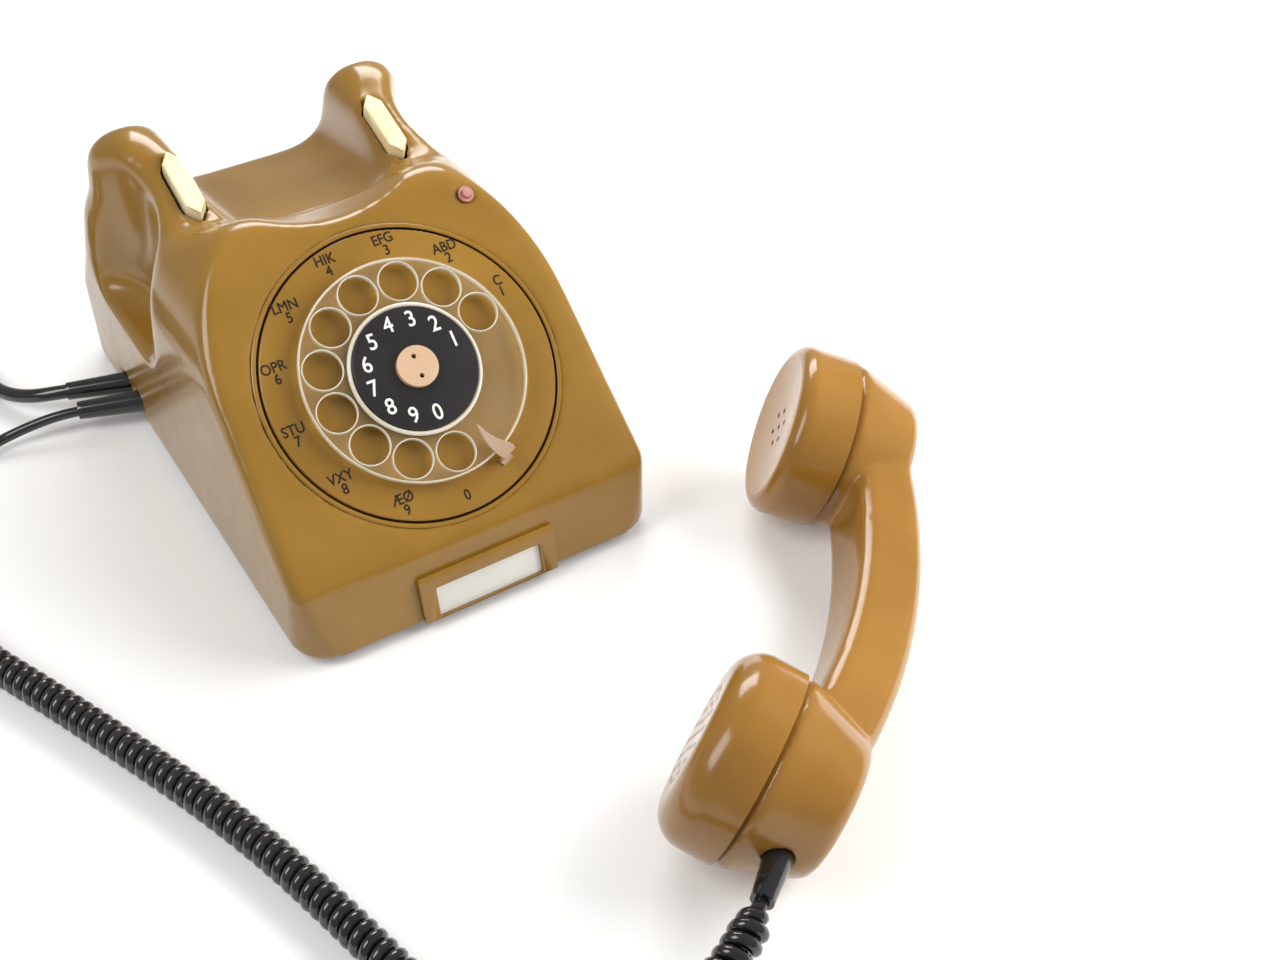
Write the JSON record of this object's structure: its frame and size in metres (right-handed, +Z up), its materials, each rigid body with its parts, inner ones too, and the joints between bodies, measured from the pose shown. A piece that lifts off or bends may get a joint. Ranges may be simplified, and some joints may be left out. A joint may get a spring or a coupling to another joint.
{
  "type": "rotary telephone",
  "caption": "Desk telephone with a finger-hole dial on a sloping face, a two-plunger cradle, an off-hook handset on a curly cord and a coiled line cord.",
  "frame": {"origin": "centre of the box round base and handset, on the table", "axes": "+X to the right of the person at the dial, +Y from the dial towards the back, +Z up"},
  "size_m": [0.3637, 0.49, 0.1135],
  "materials": {
    "casing_plastic": "glossy mustard moulding",
    "handset_plastic": "glossy mustard moulding",
    "plunger_plastic": "smooth cream moulding",
    "clear_plastic": "clear moulding",
    "black_plastic": "smooth black",
    "dark_metal": "black lacquer",
    "bright_metal": "polished",
    "steel": "plain steel",
    "brass": "bright brass",
    "rubber": "matt black",
    "cord_rubber": "glossy black",
    "card": "matt white card",
    "winding": "varnished winding",
    "board": "brown board",
    "number_plate_plastic": "glossy mustard moulding"
  },
  "bodies": {
    "base": {"casing": "casing_plastic", "base_plate": "dark_metal", "rubber_feet": "rubber", "base_screws": "steel", "label_frame": "casing_plastic", "label_card": "card", "label_window": "clear_plastic", "number_plate": "number_plate_plastic", "dial_frame": "dark_metal", "dial_bush": "brass", "finger_stop": "bright_metal", "bridge_plate": "steel", "bridge_pillars": "steel", "governor_cup": "brass", "pulse_contacts": "brass", "button_bush": "bright_metal", "hook_bracket": "steel", "hook_pivot_pin": "steel", "hook_contacts": "brass", "ringer_frame": "steel", "ringer_coils": "winding", "ringer_pin": "steel", "left_gong": "brass", "right_gong": "brass", "gong_posts": "steel", "gong_screws": "steel", "circuit_board": "board", "board_posts": "black_plastic", "transformer": "dark_metal", "capacitor": "dark_metal", "terminal_block": "black_plastic", "handset_cord_boot": "cord_rubber", "line_cord_boot": "cord_rubber", "handset_cord_lead": "cord_rubber", "handset_cord_curls": "cord_rubber", "line_cord": "cord_rubber", "line_cord_coil": "cord_rubber", "cord_tie": "cord_rubber", "line_plug": "black_plastic", "plug_pins": "bright_metal"},
    "dial": {"finger_wheel": "clear_plastic", "number_disc": "black_plastic", "dial_nut": "bright_metal", "dial_shaft": "steel", "main_gear": "brass", "mainspring": "steel"},
    "governor": {"governor_pinion": "brass", "governor_shaft": "steel", "governor_weights": "brass"},
    "left_plunger": {"left_plunger": "plunger_plastic"},
    "right_plunger": {"right_plunger": "plunger_plastic"},
    "hook_lever": {"hook_lever": "steel"},
    "face_button": {"face_button": "bright_metal"},
    "clapper": {"clapper": "steel"},
    "handset": {"handset_body": "handset_plastic", "receiver_cap": "handset_plastic", "transmitter_cap": "handset_plastic", "receiver_capsule": "dark_metal", "transmitter_capsule": "dark_metal", "handset_boot": "cord_rubber"}
  },
  "joints": [
    {"name": "dial_turn", "type": "hinge", "parent": "base", "child": "dial", "pos_m": [-0.04423, 0.01345, 0.06678], "axis": [0, 0.6626, -0.749], "range_deg": [0, 330], "stiffness_Nm_per_rad": 0.02, "springref_deg": -85.94},
    {"name": "governor_spin", "type": "hinge", "parent": "base", "child": "governor", "pos_m": [-0.06823, 0.01345, 0.06678], "axis": [0, 0.6626, -0.749], "continuous": true},
    {"name": "left_plunger_press", "type": "slide", "parent": "base", "child": "left_plunger", "axis": [0, 0.3256, -0.9455], "range_m": [0, 0.003], "stiffness_N_per_m": 200, "springref_m": -0.004},
    {"name": "right_plunger_press", "type": "slide", "parent": "base", "child": "right_plunger", "axis": [0, 0.3256, -0.9455], "range_m": [0, 0.003]},
    {"name": "hook_lever_tilt", "type": "hinge", "parent": "base", "child": "hook_lever", "pos_m": [-0.04423, 0.13953, 0.06189], "axis": [1, 0, 0], "range_deg": [0, 7.5]},
    {"name": "face_button_press", "type": "slide", "parent": "base", "child": "face_button", "axis": [0, 0.6626, -0.749], "range_m": [0, 0.0015], "stiffness_N_per_m": 300, "springref_m": -0.002},
    {"name": "clapper_swing", "type": "hinge", "parent": "base", "child": "clapper", "pos_m": [-0.04423, 0.10953, 0.02], "axis": [0, 0, 1], "range_deg": [-4.5, 4.5]},
    {"name": "handset_lift", "type": "slide", "parent": "base", "child": "handset", "axis": [0, 0, 1], "range_m": [0, 0.2], "deforming": ["handset_cord_curls"]}
  ],
  "couplings": [
    {"joint": "governor_spin", "follows": "dial_turn", "ratio": -4},
    {"joint": "right_plunger_press", "follows": "left_plunger_press", "ratio": 1},
    {"joint": "hook_lever_tilt", "follows": "left_plunger_press", "rad_per_m": 40}
  ]
}
